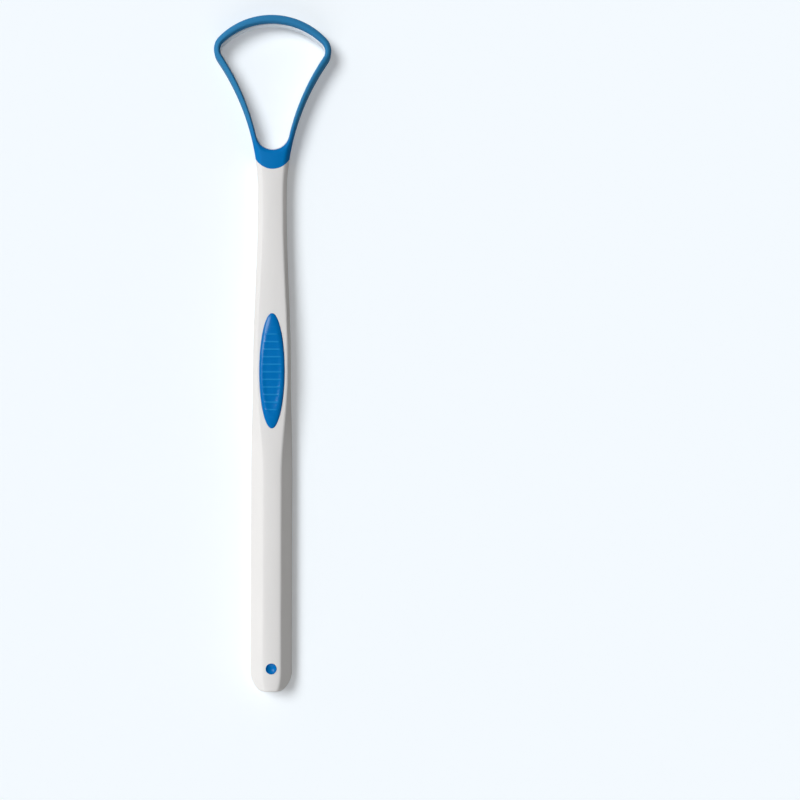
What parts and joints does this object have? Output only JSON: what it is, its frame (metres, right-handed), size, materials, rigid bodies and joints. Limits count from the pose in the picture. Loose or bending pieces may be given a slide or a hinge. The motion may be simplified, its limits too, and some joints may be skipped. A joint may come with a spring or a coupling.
{
  "type": "tongue scraper",
  "caption": "Hand-held tongue scraper: a slim faceted white handle with a ribbed blue thumb pad, a blue tail plug and a stiffened loop-shaped head under a soft blue skin.",
  "frame": {"origin": "middle of the length and width, on the surface that the flat back rests on", "axes": "+Y along the handle towards the loop, +Z out of the front face that carries the thumb pad, +X to the right seen from the front with the loop up"},
  "size_m": [0.0312, 0.18, 0.0079],
  "materials": {
    "white_plastic": "satin moulded polypropylene",
    "blue_skin": "smooth soft thermoplastic elastomer",
    "blue_pad": "ribbed soft thermoplastic elastomer"
  },
  "bodies": {
    "root": {"handle": "white_plastic", "scraper_loop": "blue_skin", "thumb_pad": "blue_pad", "tail_plug": "blue_pad"}
  },
  "joints": []
}
